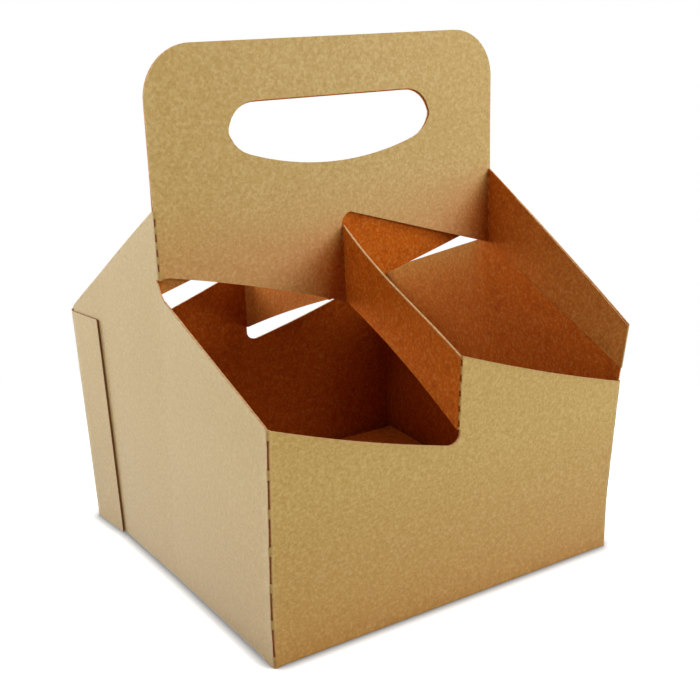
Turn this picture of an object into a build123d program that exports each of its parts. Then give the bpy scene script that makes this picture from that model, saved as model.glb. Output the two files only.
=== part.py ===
from build123d import *
import os

# Four-cup carrier folded from one die-cut blank of kraft paperboard.
# Origin at the middle of the base, +X to the right along the front panel, +Y to the back, +Z up.
# The two halves either side of the handle are alike, turned half a turn about Z.

# Board and base
board = 0.6
half_board = board / 2
base_width = 180.0
base_depth = 174.0
side_flare = 0.025  # outward lean of the corners in X, for each mm of height
end_flare = 0.049  # outward lean of the front and back panels in Y, for each mm of height
fold_radius = 1.2  # outside radius of a crease
glue_depth = 0.3  # two layers that are glued are solid from this deep in the first one

# Heights of the cut edges above the base, followed round the front half from the left
notch_height = 135.4  # low side wall, beside the handle
corner_height = 101.2  # low side wall and front panel, at their corner
dip_height = 74.2  # front panel, low half, at the centre
peak_height = 112.3  # front panel, high half, at the centre
far_height = 82.2  # front panel, at the corner with the double wall
wing_height = 107.0  # double side wall, at its corner
shoulder_height = 167.2  # double side wall, beside the handle
front_sag = 1.4  # hollow of the curved front edges below a straight line
notch_run = 4.2  # width of the rounded end of each window
notch_rise = 4.0  # height of that rounded end
notch_bulge = 1.1  # depth of its arc from a straight line

# Handle
handle_width = 178.6
handle_height = 233.3
handle_corner = 20.5
layer_height = 139.0  # lower edge of a handle layer, extended to the low side wall
centre_height = 115.0  # the same edge, at the centre fold
layer_bow = 1.4  # rise of that edge above a straight line
arch_height = 155.9  # lower edge of the layer's other half, extended to the centre fold
arch_rise = 5.5  # height of the rounded end of that edge
band_height = 131.2  # the same edge, at the double side wall
handle_fold = 3.0  # centre fold of the front layer, to the right of the middle

# Hand hole
hole_width = 105.0
hole_height = 29.2
hole_bottom = 179.4
hole_top = hole_bottom + hole_height
hole_corner = 0.36 * hole_height
hole_bow = 0.257 * hole_height  # rise of the curved lower edge at its ends

# Centre band, from the front layer of the handle to the front panel
panel_fold = -1.4  # its fold on the front panel, from the middle
divider_height = 150.4  # its upper edge at the handle
divider_foot = 80.4  # its lower edge at the front panel
divider_bow = 3.0  # rise of the lower edge above a straight line

# Inner band of the double side wall
band_foot = 88.5  # its lower edge at the corner

# Glue flap, wrapped round the rear left corner
flap_width = 27.0
flap_height = 105.4

# Floor flaps, locked together
floor_rise = 6.0  # the locked floor stands this far above the wall's lower edge
floor_kick = 5.0  # run of the slope from the wall up to the level floor
flap_clearance = 1.5  # free edges of the flaps from the walls
end_flap_taper = 6.0  # narrowing of each side of a front or back flap
hook_reach = 16.0  # how far each hook passes the centre line
hook_slant = 10.0  # half width of the slanted step between the hooks
hook_gap = 0.8  # gap between the two locked flaps
side_flap_reach = 0.345 * base_width  # length of a side flap
side_flap_taper = 0.23 * base_depth  # narrowing of each side of a side flap

margin = 5.0  # cuts run this far past what they cut
wall_height = shoulder_height + margin
half_handle = handle_width / 2


def half_width(height):
    """Half the width across the corners at a height."""
    return base_width / 2 + side_flare * height


def half_depth(height):
    """Half the depth across the front and back panels at a height."""
    return base_depth / 2 + end_flare * height


def half_plan(height, inset):
    """Outline of the front half of the walls at a height, set in from the outside."""
    width = half_width(height) - inset
    depth = half_depth(height) - inset
    fold = half_handle - inset
    return [(-fold, 0), (-width, -depth), (width, -depth), (fold, 0)]


# Inner band: a second layer inside the double wall, from the handle to the front corner
with BuildPart() as inner_band:
    for height in (0, wall_height):
        with BuildSketch(Plane.XY.offset(height)):
            with BuildLine():
                Polyline(
                    (half_handle - board + glue_depth, 0),
                    (half_width(height) - board + glue_depth, -half_depth(height)),
                    (half_width(height) - 2 * board, -half_depth(height)),
                    (half_handle - 2 * board, 0),
                    close=True,
                )
            make_face()
    loft(ruled=True)
    with BuildSketch(Plane.YZ):
        with BuildLine():
            Polyline(
                (0, band_height),
                (0, shoulder_height),
                (-half_depth(wing_height), wing_height),
                (-half_depth(band_foot), band_foot),
                close=True,
            )
        make_face()
    extrude(amount=base_width, mode=Mode.INTERSECT)

# Front or back floor flap: slopes up from its crease, then lies level, hooked past the centre line
with BuildPart() as end_flap:
    crease = base_depth / 2 - board
    with BuildSketch(Plane.YZ):
        with BuildLine():
            Polyline(
                (-crease, 0),
                (-crease + floor_kick, floor_rise),
                (hook_reach, floor_rise),
                (hook_reach, floor_rise + board),
                (-crease + floor_kick - half_board, floor_rise + board),
                (-crease - half_board, board),
                (-crease - half_board, 0),
                close=True,
            )
        make_face()
    extrude(amount=base_width / 2, both=True)
    with BuildSketch():
        root = base_width / 2 - flap_clearance
        tip = root - end_flap_taper
        with BuildLine():
            Polyline(
                (-root, -base_depth / 2),
                (root, -base_depth / 2),
                (tip, -hook_reach - hook_gap),
                (hook_slant, -hook_reach - hook_gap),
                (-hook_slant, hook_reach - hook_gap),
                (-tip, hook_reach - hook_gap),
                close=True,
            )
        make_face()
    extrude(amount=floor_rise + margin, mode=Mode.INTERSECT)

# Side floor flap: slopes up from its crease to lie under the front and back flaps
with BuildPart() as side_flap:
    crease = base_width / 2 - board
    with BuildSketch(Plane.XZ):
        with BuildLine():
            Polyline(
                (-crease, 0),
                (-crease + floor_kick + board, floor_rise - board),
                (-crease + side_flap_reach, floor_rise - board),
                (-crease + side_flap_reach, floor_rise),
                (-crease + floor_kick, floor_rise),
                (-crease - half_board, board),
                (-crease - half_board, 0),
                close=True,
            )
        make_face()
    extrude(amount=base_depth / 2, both=True)
    with BuildSketch():
        root = base_depth / 2 - flap_clearance - floor_kick
        tip = root - side_flap_taper
        with BuildLine():
            Polyline(
                (-base_width / 2, -root),
                (-crease + floor_kick, -root),
                (-crease + side_flap_reach, -tip),
                (-crease + side_flap_reach, tip),
                (-crease + floor_kick, root),
                (-base_width / 2, root),
                close=True,
            )
        make_face()
    extrude(amount=floor_rise + margin, mode=Mode.INTERSECT)

# Front half: walls, handle layer, centre band and inner band
with BuildPart() as front_half:
    # Walls: left side, front panel and right side, lofted up their lean
    for inset, mode in ((0, Mode.ADD), (board, Mode.SUBTRACT)):
        for height in (0, wall_height):
            with BuildSketch(Plane.XY.offset(height)) as plan:
                with BuildLine():
                    Polyline(*half_plan(height, inset), close=True)
                make_face()
                fillet(plan.vertices().group_by(Axis.Y)[0], fold_radius - inset)
        loft(ruled=True, mode=mode)

    # Sloping top of the low side wall
    with BuildSketch(Plane.YZ):
        with BuildLine():
            Polyline(
                (0, notch_height),
                (-half_depth(corner_height), corner_height),
                (-base_depth, corner_height),
                (-base_depth, wall_height + margin),
                (0, wall_height + margin),
                close=True,
            )
        make_face()
    extrude(amount=-base_width, mode=Mode.SUBTRACT)

    # Sloping top of the double side wall
    with BuildSketch(Plane.YZ):
        with BuildLine():
            Polyline(
                (0, shoulder_height),
                (-half_depth(wing_height), wing_height),
                (-base_depth, wing_height),
                (-base_depth, wall_height + margin),
                (0, wall_height + margin),
                close=True,
            )
        make_face()
    extrude(amount=base_width, mode=Mode.SUBTRACT)

    # Stepped, curved top of the front panel, cut between the side walls and through this panel alone
    with BuildSketch(Plane.XZ.offset(half_depth(dip_height) - 2 * board)):
        left = -half_width(dip_height) + 2 * board
        right = half_width(dip_height) - 2 * board
        with BuildLine():
            low_edge = SagittaArc((left, corner_height), (panel_fold - notch_run, dip_height), -front_sag)
            notch_end = (panel_fold, dip_height + notch_rise)
            SagittaArc(low_edge @ 1, notch_end, -notch_bulge)
            Line(notch_end, (panel_fold, peak_height))
            high_edge = SagittaArc((panel_fold, peak_height), (right, far_height), -front_sag)
            Polyline(high_edge @ 1, (right, wall_height + margin), (left, wall_height + margin), low_edge @ 0)
        make_face()
    extrude(amount=base_depth, mode=Mode.SUBTRACT)

    # Handle layer with its hand hole
    with BuildSketch(Plane.XZ) as layer:
        with BuildLine():
            low_start = (-half_handle + notch_run, layer_height)
            Polyline((half_handle, band_height), (half_handle, handle_height), (-half_handle, handle_height),
                     (-half_handle, notch_height))
            SagittaArc((-half_handle, notch_height), low_start, notch_bulge)
            SagittaArc(low_start, (handle_fold, centre_height), layer_bow)
            Line((handle_fold, centre_height), (handle_fold, arch_height - arch_rise))
            arch_start = (handle_fold + notch_run, arch_height)
            SagittaArc((handle_fold, arch_height - arch_rise), arch_start, notch_bulge)
            Line(arch_start, (half_handle, band_height))
        make_face()
        fillet(layer.vertices().group_by(Axis.Y)[-1], handle_corner)
        with BuildSketch(mode=Mode.SUBTRACT) as hole:
            with BuildLine():
                ends = hole_bottom + hole_bow
                Polyline((hole_width / 2, ends), (hole_width / 2, hole_top), (-hole_width / 2, hole_top),
                         (-hole_width / 2, ends))
                ThreePointArc((-hole_width / 2, ends), (0, hole_bottom), (hole_width / 2, ends))
            make_face()
            fillet(hole.vertices(), hole_corner)
    extrude(amount=board)

    # Centre band from the handle layer to the front panel
    band_run = Vector(panel_fold - handle_fold, -half_depth(peak_height))
    band_plane = Plane(origin=(handle_fold, 0, 0), x_dir=band_run, z_dir=band_run.cross(Vector(0, 0, 1)))
    slant = band_run.length / half_depth(peak_height)
    with BuildSketch(band_plane):
        with BuildLine():
            far_top = (half_depth(peak_height) * slant, peak_height)
            far_foot = (half_depth(divider_foot) * slant, divider_foot)
            Polyline((0, centre_height), (0, divider_height), far_top, far_foot)
            SagittaArc(far_foot, (0, centre_height), -divider_bow)
        make_face()
    extrude(amount=-board)

    add(inner_band.part)
    add(end_flap.part)

# Glue flap on the outside of the rear left wall
with BuildPart() as glue_flap:
    for height in (0, wall_height):
        corner = Vector(-half_width(height), half_depth(height))
        fold = Vector(-half_handle, 0)
        along = (fold - corner).normalized()
        outward = along.cross(Vector(0, 0, 1))
        free_edge = corner + along * flap_width
        sunk = -glue_depth * outward
        proud = board * outward
        with BuildSketch(Plane.XY.offset(height)):
            with BuildLine():
                Polyline(corner + sunk, free_edge + sunk, free_edge + proud, corner + proud, close=True)
            make_face()
    loft(ruled=True)
    split(bisect_by=Plane.XY.offset(flap_height), keep=Keep.BOTTOM)

with BuildPart() as cup_carrier:
    add(front_half.part)
    add(front_half.part, rotation=(0, 0, 180))
    add(side_flap.part)
    add(side_flap.part, rotation=(0, 0, 180))
    add(glue_flap.part)

cup_carrier.part.label = "cup_carrier"
os.makedirs("parts", exist_ok=True)
export_step(cup_carrier.part, "parts/cup_carrier.step")
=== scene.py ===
"""Looks of a cup carrier folded from one die-cut blank of kraft paperboard.

The board is worked out as one middle surface, panel by panel and fold by fold, welded and then
given its thickness. Sizes are in millimetres and become metres when the mesh is written. The half
behind the handle is the front half turned half a turn about Z, with a glued corner and a few sizes
of its own.
"""
import logging
from dataclasses import dataclass, field, replace
from enum import Enum
from typing import Any, Sequence

import bpy
import numpy as np
from mathutils import Matrix, Vector


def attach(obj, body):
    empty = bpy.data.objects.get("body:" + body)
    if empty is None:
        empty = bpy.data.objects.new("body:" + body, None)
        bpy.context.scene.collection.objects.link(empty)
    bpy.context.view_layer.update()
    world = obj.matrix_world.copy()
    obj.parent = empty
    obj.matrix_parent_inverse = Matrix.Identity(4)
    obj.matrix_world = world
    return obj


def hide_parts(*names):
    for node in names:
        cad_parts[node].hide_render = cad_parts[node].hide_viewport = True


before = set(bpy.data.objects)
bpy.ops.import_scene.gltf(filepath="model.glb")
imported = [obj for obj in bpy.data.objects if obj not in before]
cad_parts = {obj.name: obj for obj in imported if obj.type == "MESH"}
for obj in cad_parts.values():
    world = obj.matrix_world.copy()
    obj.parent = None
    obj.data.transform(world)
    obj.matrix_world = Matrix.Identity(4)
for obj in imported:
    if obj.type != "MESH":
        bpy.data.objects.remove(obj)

LOG = logging.getLogger("cup_carrier")
MM = 0.001
BODY = "root"
NODE = "cup_carrier"
WHITE = (1.0, 1.0, 1.0, 1.0)
HALF_TURN = np.array([-1.0, -1.0, 1.0])
MIRROR = np.array([-1.0, 1.0, 1.0])
FORWARD = np.array([0.0, -1.0, 0.0])
HALFWAY = 0.5
TINY = 1e-12

Colour = tuple[float, float, float]


class Corner(Enum):
    """How the double wall meets its end panel."""

    FOLDED = "folded"
    GLUED = "glued"


class Finish(Enum):
    """Finishes of the board, in the order of its material slots. One is a copy for the faces in
    painted deep shade, and the side walls' copy has the most sheen, a painted sheen.
    """

    SIDE = 0
    INNER = 1
    CUT = 2
    END = 3
    HANDLE = 4


class Slits(Enum):
    """Cut slits along a fold: rows from one to the next, rows cut and rows before the first."""

    LOW_CORNER = (4, 3, 2)
    HIGH_CORNER = (10, 7, 3)
    HANDLE = (10, 5, 9)
    BAND = (4, 2, 1)
    PANEL = (5, 2, 1)


class Tone(Enum):
    """Tone of a panel's outer and inner faces: 0 for the plain colour and 1 for the deep one, which
    is painted shade of a face inside the carrier.
    """

    WALL = (0.0, 1.0)
    BAND = (1.0, 1.0)


def stops(values: Sequence[float], counts: Sequence[int]) -> np.ndarray:
    """Steps evenly from each value to the next.

    Args:
        values: Places to pass through, in order.
        counts: Steps between each value and the next.

    Returns:
        One array from the first value to the last.
    """
    spans = zip(values, values[1:], counts)
    runs = [np.linspace(a, b, n, endpoint=False) for a, b, n in spans]
    return np.concatenate([*runs, [values[-1]]])


def blend(a: np.ndarray, b: np.ndarray, t: np.ndarray) -> np.ndarray:
    """Straight line from a to b: a plus t times their difference."""
    return a + (b - a) * t


def bezier(start: np.ndarray, ridge: np.ndarray, end: np.ndarray, t: np.ndarray) -> np.ndarray:
    """Quadratic curve from start to end, pulled out by the ridge between them."""
    return (1 - t) ** 2 * start + 2 * t * (1 - t) * ridge + t**2 * end


def hump(t: np.ndarray) -> np.ndarray:
    """Parabola that is 1 halfway and 0 at both ends: four t times one minus t."""
    return 4 * t * (1 - t)


def early_hump(t: np.ndarray) -> np.ndarray:
    """Curve that is 1 at a third of the way: 27 quarters of t times one minus t squared."""
    return 27 / 4 * t * (1 - t) ** 2


def hollow(t: np.ndarray) -> np.ndarray:
    """Quarter of a circle that starts level at 0 and ends upright at 1."""
    return 1 - np.sqrt(np.clip(1 - t**2, 0, 1))


def ramp(value: np.ndarray, start: float, end: float) -> np.ndarray:
    """Straight run from 0 at the start to 1 at the end, held beyond both."""
    return np.clip((value - start) / (end - start), 0, 1)


def points_of(x: np.ndarray, y: np.ndarray, z: np.ndarray) -> np.ndarray:
    """Stacks three arrays, spread to one shape, into points."""
    return np.stack(np.broadcast_arrays(x, y, z), axis=-1).astype(float)


def arc(
    centre: tuple[float, float], radius: float, start: float, end: float, count: int
) -> np.ndarray:
    """Circle arc: the centre plus the radius times the cosine and sine of an angle.

    Args:
        centre: Middle of the circle.
        radius: Its radius.
        start: First angle in degrees.
        end: Last angle in degrees.
        count: Steps along the arc.

    Returns:
        Points in two dimensions.
    """
    angle = np.radians(np.linspace(start, end, count + 1))
    return np.array(centre) + radius * np.stack([np.cos(angle), np.sin(angle)], axis=-1)


def line(
    start: Sequence[float], end: Sequence[float], count: int, rise: float = 0.0
) -> np.ndarray:
    """Straight run between two points, raised in the middle by a parabola.

    Args:
        start: First point, in two dimensions.
        end: Last point.
        count: Steps along the run.
        rise: Height of the parabola in the second direction.

    Returns:
        Points in two dimensions.
    """
    t = np.linspace(0, 1, count + 1)[:, None]
    run = blend(np.array(start, float), np.array(end, float), t)
    run[:, 1:] += rise * hump(t)
    return run


def loop(*runs: np.ndarray) -> np.ndarray:
    """Joins runs end to end into a closed loop, without the repeated points."""
    return np.concatenate([run[:-1] for run in runs])


def set_values(node: bpy.types.Node, values: dict[str, Any]) -> None:
    """Sets the values of a node's named input sockets."""
    for name, value in values.items():
        node.inputs[name].default_value = value


def add_node(
    tree: bpy.types.NodeTree, kind: str, values: dict[str, Any] | None = None, **settings: Any
) -> bpy.types.Node:
    """Adds a node to a tree.

    Args:
        tree: Node tree that gets the node.
        kind: Type of the node.
        values: Values of its input sockets, by name.
        **settings: Its own properties.

    Returns:
        The node.
    """
    node = tree.nodes.new(kind)
    for name, setting in settings.items():
        setattr(node, name, setting)
    set_values(node, values or {})
    return node


def wire(tree: bpy.types.NodeTree, *pairs: tuple[bpy.types.NodeSocket, Any]) -> None:
    """Links each output socket to its input socket."""
    for source, target in pairs:
        tree.links.new(source, target)


@dataclass
class Sheet:
    """A stretch of the board's middle surface.

    Attributes:
        points: Places of the points.
        quads: Four point numbers for each face, anticlockwise from outside the board.
        crease: How far each point is darkened, from 0 to 1: along a fold's ridge, and as painted
            shade in a slit and painted shadow lines at the glue flap's and inner band's edges.
        tone: Painted shade of the outer and the inner face at each point, from 0 to 1.
    """

    points: np.ndarray
    quads: np.ndarray
    crease: np.ndarray
    tone: np.ndarray

    @classmethod
    def from_grid(
        cls,
        grid: np.ndarray,
        keep: np.ndarray | None,
        crease: np.ndarray | float,
        tone: np.ndarray,
    ) -> "Sheet":
        """Makes a sheet from a grid whose first direction runs right, seen from outside.

        Args:
            grid: Points, with two directions; the second runs up.
            keep: Which faces to keep, or None for all of them.
            crease: Crease value of every point, spread over the grid.
            tone: Tones of both faces, spread over the grid.

        Returns:
            The sheet.
        """
        across, up = grid.shape[:2]
        creases = np.broadcast_to(crease, (across, up)).ravel()
        tones = np.broadcast_to(tone, (across, up, 2)).reshape(-1, 2)
        number = np.arange(across * up).reshape(across, up)
        corners = [number[:-1, :-1], number[1:, :-1], number[1:, 1:], number[:-1, 1:]]
        quads = np.stack(corners, axis=-1)
        kept = quads.reshape(-1, 4) if keep is None else quads[keep]
        return cls(grid.reshape(-1, 3), kept, creases, tones)

    @classmethod
    def weld(cls, sheets: Sequence["Sheet"], grain: float = 1e-3) -> "Sheet":
        """Joins sheets and merges the points that lie within one grain of space.

        Args:
            sheets: What to join.
            grain: Side of the cells that the points are sorted into.

        Returns:
            One sheet, with no point that no face uses.
        """
        starts = np.cumsum([0] + [len(sheet.points) for sheet in sheets[:-1]])
        points = np.concatenate([sheet.points for sheet in sheets])
        crease = np.concatenate([sheet.crease for sheet in sheets])
        tone = np.concatenate([sheet.tone for sheet in sheets])
        quads = np.concatenate([sheet.quads + start for sheet, start in zip(sheets, starts)])
        cells = np.round(points / grain).astype(np.int64)
        _, first, merged = np.unique(cells, axis=0, return_index=True, return_inverse=True)
        used, quads = np.unique(merged.reshape(-1)[quads], return_inverse=True)
        kept = first[used]
        return cls(points[kept], quads.reshape(-1, 4), crease[kept], tone[kept])

    def turned(self) -> "Sheet":
        """The sheet turned half a turn about Z: X and Y change sign."""
        return replace(self, points=self.points * HALF_TURN)

    def normals(self) -> np.ndarray:
        """Unit normals of the points: the sum of their faces' crossed diagonals.

        Returns:
            One direction for each point.
        """
        corners = self.points[self.quads]
        faces = np.cross(corners[:, 2] - corners[:, 0], corners[:, 3] - corners[:, 1])
        total = np.zeros_like(self.points)
        np.add.at(total, self.quads.ravel(), np.repeat(faces, 4, axis=0))
        return total / np.maximum(np.linalg.norm(total, axis=1, keepdims=True), TINY)

    def rim(self) -> np.ndarray:
        """Finds the directed edges that only one face uses: the cut edges of the board.

        Returns:
            Two point numbers for each edge.
        """
        edges = np.stack([self.quads, np.roll(self.quads, -1, axis=1)], axis=-1).reshape(-1, 2)
        size = len(self.points)
        forward = edges @ [size, 1]
        backward = edges @ [1, size]
        return edges[~np.isin(backward, forward)]


@dataclass(frozen=True)
class BlankSizes:
    """Sizes of the folded blank in millimetres.

    Heights are above the foot of the walls, and folds are places along X. A flare is a lean per
    millimetre of height. A bow, sag, rise, slant or taper is how far an edge leaves a straight or
    square line. A guard is the width at the end of a wall's foot that no floor flap takes. The deep
    tone is painted shade; a fade is the share of it that a face loses, which paints it lighter, and
    edge_highlight is the tone of the centre band's upper edge, a painted highlight. edge_share and
    slit_close are shares of a row and of half the board.
    """

    # Sheet and folds
    board: float = 0.6
    fold: float = 0.8
    toe: float = 1.1
    layer_gap: float = 0.1
    slit_close: float = 0.93
    corner_guard: float = 1.5
    side_guard: float = 6.5
    # Walls
    base_width: float = 180.0
    base_depth: float = 174.0
    side_flare: float = 0.025
    end_flare: float = 0.049
    notch_height: float = 138.0
    notch_reach: float = 5.0
    notch_run: float = 4.2
    notch_rise: float = 4.0
    slope_height: float = 132.0
    corner_height: float = 101.2
    dip_height: float = 74.2
    peak_height: float = 112.3
    far_height: float = 82.2
    wing_height: float = 108.4
    front_sag: float = 1.4
    panel_fold: float = -1.4
    # Handle layers and hand hole
    handle_width: float = 178.6
    handle_height: float = 233.3
    handle_corner: float = 22.0
    handle_fold: float = 3.0
    shoulder_height: float = 167.2
    layer_height: float = 139.0
    centre_height: float = 115.0
    layer_bow: float = 1.4
    layer_splay: float = 3.0
    splay_power: float = 1.5
    # share of the painted deep shade that the handle layers' inner faces lose towards their ends
    layer_fade: float = 0.5
    arch_height: float = 155.9
    arch_rise: float = 5.5
    hole_width: float = 105.0
    hole_top: float = 208.6
    hole_bottom: float = 179.4
    hole_corner: float = 13.0
    hole_bow: float = 10.5
    hole_shift: float = 0.0
    # Centre band
    divider_height: float = 150.4
    divider_foot: float = 80.4
    divider_bow: float = 2.3
    divider_sag: float = 2.5
    # share of the painted deep shade that the centre band's inner face loses, and the tone of a
    # painted highlight on its upper edge
    divider_fade: float = 0.2
    edge_highlight: float = 0.5
    # Inner band
    band_height: float = 131.2
    band_foot: float = 88.5
    band_splay: float = 4.0
    band_rise: float = 2.4
    # share of the painted deep shade that the inner band loses towards the corner
    band_fade: float = 0.32
    edge_share: float = 0.16
    # Glue flap
    flap_width: float = 27.2
    flap_slant: float = 3.2
    flap_rise: float = 1.6
    flap_height: float = 105.4
    flap_gap: float = 0.3
    flap_lift: float = 0.2
    # Floor flaps
    floor_rise: float = 6.3
    floor_kick: float = 5.0
    floor_dip: float = -0.2
    floor_round: float = 0.6
    flap_taper: float = 6.0
    hook_reach: float = 16.0
    hook_slant: float = 10.0
    hook_gap: float = 0.3
    side_flap_reach: float = 62.0
    side_flap_taper: float = 40.0

    @property
    def half_board(self) -> float:
        """Half the board's thickness, from its middle surface to a face."""
        return self.board / 2

    @property
    def layer_step(self) -> float:
        """Distance between the middle surfaces of two layers that lie on each other."""
        return self.board + self.layer_gap

    def layer_depth(self, z: np.ndarray) -> np.ndarray:
        """Distance of a handle layer from the middle: a power of the drop below the hand hole."""
        part = ramp(np.asarray(z), self.hole_bottom, self.centre_height)
        return self.layer_step / 2 + self.layer_splay * part**self.splay_power

    def half_width(self, z: np.ndarray) -> np.ndarray:
        """Half the width across the corners at a height."""
        return self.base_width / 2 + self.side_flare * z

    def half_depth(self, z: np.ndarray) -> np.ndarray:
        """Half the depth across the end panels at a height."""
        return self.base_depth / 2 + self.end_flare * z


@dataclass
class CarrierHalf:
    """The blank's walls, handle layer, bands and floor flaps on one side of the handle.

    Attributes:
        sizes: Sizes of the blank.
        corner: How the double wall meets its end panel.
        low_rows: Rows of faces up the low walls.
        step_rows: Rows in the short steps between cut edges.
        band_rows: Rows up each band.
        tooth_rows: Rows in the pointed foot of the handle fold.
        open_rows: How many of them the round end of the window takes away.
        whole_rows: Rows without slits at the top of the handle fold.
        wall_columns: Columns along each wall.
        fold_columns: Columns round each fold.
        notch_columns: Columns round each notch.
        flap_columns: Columns along the glue flap, without its rim.
        tooth_columns: Columns across the pointed foot.
        turn_steps: Steps round each bend of a floor flap.
        level_steps: Steps along its level run.
        long_steps: Steps along the hand hole's top and bottom.
        top_steps: Steps along the handle's top.
        edge_steps: Steps along each lower edge of a handle layer.
        corner_steps: Steps round the corners of the handle and the hand hole.
        side_steps: Steps up each free side of the handle.
        short_steps: Steps along the shortest edges.
        ray_stops: Stops on the way from a handle layer's edge to the hand hole, in parts of it.
        ray_steps: Steps between those stops.
        end_column: Width of the narrow column at each end of a band, in parts of its length.
        flap_rim: Width of the column at the glue flap's free edge, in parts of its length.
        tooth_tip: Least width of the pointed foot, in parts of its greatest.
        step_share: Height of the double wall's step rows, in parts of the corner's.
        fold_mark: Crease value on the ridge of a fold that isn't cut.
        panel_slit_shade: Painted shade at the lips of the slits between centre band and end panel,
            as a crease value.
        band_shade: Painted shade of the inner band beside the handle, as a crease value.
        band_reach: Distance over which that value falls to about a third, in millimetres.
        sheets: What has been made so far.
    """

    sizes: BlankSizes
    corner: Corner
    low_rows: int = 25
    step_rows: int = 2
    band_rows: int = 24
    tooth_rows: int = 7
    open_rows: int = 3
    whole_rows: int = 5
    wall_columns: int = 20
    fold_columns: int = 5
    notch_columns: int = 6
    flap_columns: int = 10
    tooth_columns: int = 4
    turn_steps: int = 5
    level_steps: int = 14
    long_steps: int = 40
    top_steps: int = 30
    edge_steps: int = 24
    corner_steps: int = 16
    side_steps: int = 12
    short_steps: int = 4
    ray_stops: tuple[float, ...] = (0.0, 0.03, 0.12, 0.95, 1.0)
    ray_steps: tuple[int, ...] = (1, 1, 6, 1)
    end_column: float = 0.02
    flap_rim: float = 0.015
    tooth_tip: float = 0.02
    step_share: float = 0.62
    fold_mark: float = 0.2
    panel_slit_shade: float = 0.2
    band_shade: float = 0.5
    band_reach: float = 12.0
    sheets: list[Sheet] = field(default_factory=list)

    def rows(self, *heights: float) -> np.ndarray:
        """Heights of the rows, through the toe and each height given, with fixed counts between."""
        counts = [1, self.low_rows, *[self.step_rows, self.band_rows] * 2]
        return stops([0.0, self.sizes.toe, *heights], counts[: len(heights) + 1])

    @property
    def upper_rows(self) -> int:
        """Rows of the handle fold above its pointed foot."""
        return 2 * (self.step_rows + self.band_rows) - self.tooth_rows

    @property
    def handle_rows(self) -> np.ndarray:
        """Rows beside the handle, past the notch of the low wall.

        Returns:
            Their heights.
        """
        s = self.sizes
        counts = [1, self.low_rows, self.tooth_rows, self.upper_rows]
        return stops([0.0, s.toe, s.notch_height, s.layer_height, s.shoulder_height], counts)

    @property
    def far_rows(self) -> np.ndarray:
        """Rows at the corner of the double wall.

        Returns:
            Their heights.
        """
        s = self.sizes
        middle = self.step_share * s.far_height
        step = s.divider_foot - s.dip_height - s.notch_rise
        return self.rows(middle, middle + step, s.far_height, s.band_foot, s.wing_height)

    @property
    def centre_rows(self) -> np.ndarray:
        """Heights of the rows at the centre fold of the end panel."""
        s = self.sizes
        return self.rows(s.dip_height + s.notch_rise, s.divider_foot, s.peak_height)

    @property
    def band_shares(self) -> np.ndarray:
        """Columns of a band, with a narrow one at each end.

        Returns:
            Their places, in parts of the band's length.
        """
        share = np.linspace(0, 1, self.wall_columns + 1)
        ends = [self.end_column, 1 - self.end_column]
        return np.insert(share, [1, self.wall_columns], ends)[:, None]

    @property
    def band_fall(self) -> np.ndarray:
        """Value of a band's rows: 1 at its lower edge, falling evenly to 0 at its upper one."""
        return np.linspace(1, 0, self.band_rows + 1)

    @property
    def quarter(self) -> np.ndarray:
        """Angles of the columns round a notch: a quarter of a turn."""
        return np.radians(np.linspace(0, 90, self.notch_columns + 1))

    def side_point(self, z: np.ndarray, along: np.ndarray) -> np.ndarray:
        """Point of the right side wall: from the corner straight to the handle at the same height.

        Args:
            z: Heights.
            along: Distances from the corner, in parts of the wall's length.

        Returns:
            The points.
        """
        s = self.sizes
        x = blend(s.half_width(z) - s.half_board, s.handle_width / 2 - s.half_board, along)
        y = blend(-(s.half_depth(z) - s.half_board), -s.fold, along)
        return points_of(x, y, z)

    def end_point(self, z: np.ndarray, x: np.ndarray) -> np.ndarray:
        """Point of the leaning front panel's middle surface at a height and a place along X."""
        return points_of(x, -(self.sizes.half_depth(z) - self.sizes.half_board), z)

    def handle_edge(self, x: float, z: np.ndarray) -> np.ndarray:
        """Line up the handle's front layer at a place along X."""
        return points_of(x, -self.sizes.layer_depth(z), z)

    def eased(self, z: np.ndarray, top: np.ndarray) -> np.ndarray:
        """Stretches the rows above the toe evenly, until the last one lies on a cut top.

        Args:
            z: Heights of a wall's grid.
            top: Height of the cut edge at each column.

        Returns:
            The new heights.
        """
        last = z[:, -1:]
        return z + ramp(z, self.sizes.toe, last) * (top[:, None] - last)

    @staticmethod
    def hairpin(start: np.ndarray, end: np.ndarray, out: np.ndarray, count: int) -> np.ndarray:
        """Half circle from one layer round to the next: cosine across and sine outwards.

        Args:
            start: Line where the first layer ends.
            end: Line where the second layer starts.
            out: Unit direction that the fold bulges in.
            count: Columns round the fold.

        Returns:
            Grid of points.
        """
        angle = np.linspace(0, np.pi, count + 1)[:, None, None]
        across = (start - end) / 2
        radius = np.linalg.norm(across, axis=-1, keepdims=True)
        return (start + end) / 2 + np.cos(angle) * across + np.sin(angle) * radius * out

    @staticmethod
    def slits(rows: int, pattern: Slits) -> np.ndarray:
        """Marks the rows of a fold that stay joined between its cut slits.

        Args:
            rows: Rows of faces up the fold.
            pattern: How the slits follow each other.

        Returns:
            True where the board is whole.
        """
        period, cut, start = pattern.value
        place = np.arange(rows) - start
        return (place < 0) | (place % period >= cut)

    @staticmethod
    def toes(grid: np.ndarray, first: int, last: int) -> np.ndarray:
        """Marks the faces of a wall to keep when a floor flap takes the place of its bottom row.

        Args:
            grid: Points of the wall.
            first: Columns before the flap.
            last: Columns after it.

        Returns:
            True for the faces to keep.
        """
        columns, rows = grid.shape[0] - 1, grid.shape[1] - 1
        keep = np.ones((columns, rows), bool)
        keep[first : columns - last, 0] = False
        return keep

    def add(
        self,
        grid: np.ndarray,
        keep: np.ndarray | None = None,
        crease: np.ndarray | float = 0.0,
        tone: np.ndarray | tuple[float, float] = Tone.WALL.value,
    ) -> None:
        """Adds one grid to the half."""
        self.sheets.append(Sheet.from_grid(grid, keep, crease, np.asarray(tone)))

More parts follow.
